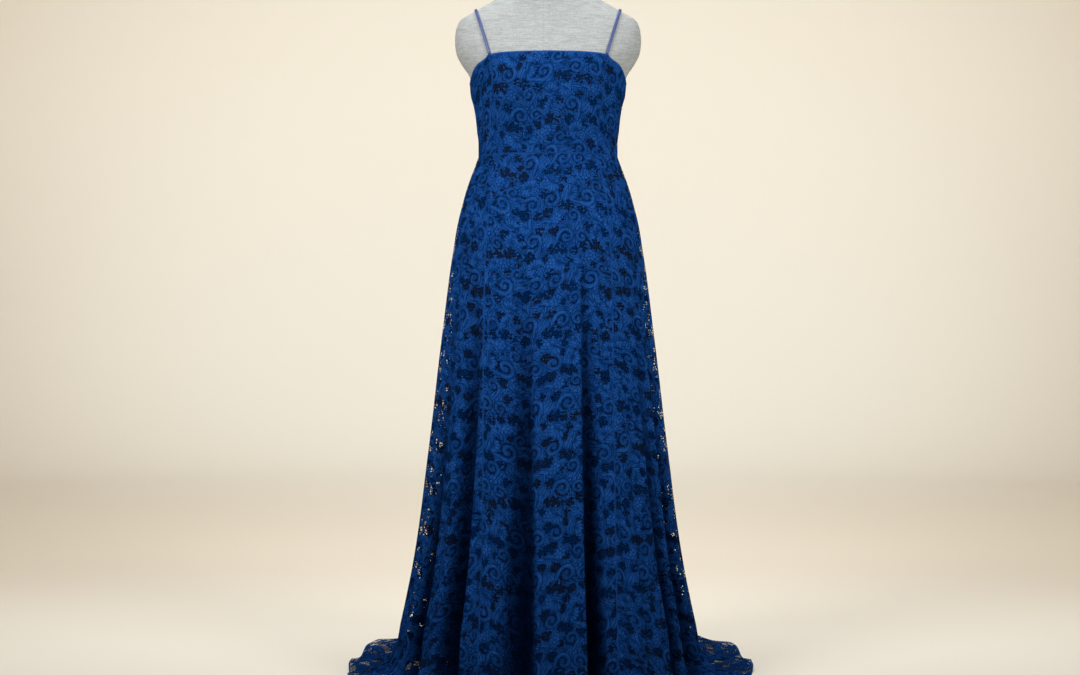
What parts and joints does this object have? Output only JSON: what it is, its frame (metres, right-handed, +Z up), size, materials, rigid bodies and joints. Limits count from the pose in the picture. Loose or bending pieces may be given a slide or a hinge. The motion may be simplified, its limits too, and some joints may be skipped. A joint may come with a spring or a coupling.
{
  "type": "lace maxi dress on a dress form",
  "caption": "Floor-length lace dress with narrow straps and a short train, worn by a limbless dress form on a pole and round base.",
  "frame": {"origin": "centre of the round base's underside, on the floor, under the form's pole", "axes": "+Z up; the front faces -Y and the train lies towards +Y; +X is the wearer's left"},
  "size_m": [0.8761, 1.021, 1.5073],
  "materials": {
    "lace": "matte",
    "lining": "satin",
    "strap": "satin",
    "form_cloth": "matte",
    "cap": "satin",
    "steel": "satin"
  },
  "bodies": {
    "root": {"bodice_centre_front": "lace", "bodice_side_front_left": "lace", "bodice_side_front_right": "lace", "bodice_back_left": "lace", "bodice_back_right": "lace", "bodice_lining_front": "lining", "bodice_lining_back": "lining", "skirt_centre_front": "lace", "skirt_side_front_left": "lace", "skirt_side_front_right": "lace", "skirt_back_left": "lace", "skirt_back_right": "lace", "skirt_lining_front": "lining", "skirt_lining_side_left": "lining", "skirt_lining_side_right": "lining", "skirt_lining_back": "lining", "strap_left": "strap", "strap_right": "strap", "form_torso": "form_cloth", "form_neck_cap": "cap", "form_pole": "steel", "form_base": "steel"}
  },
  "joints": []
}
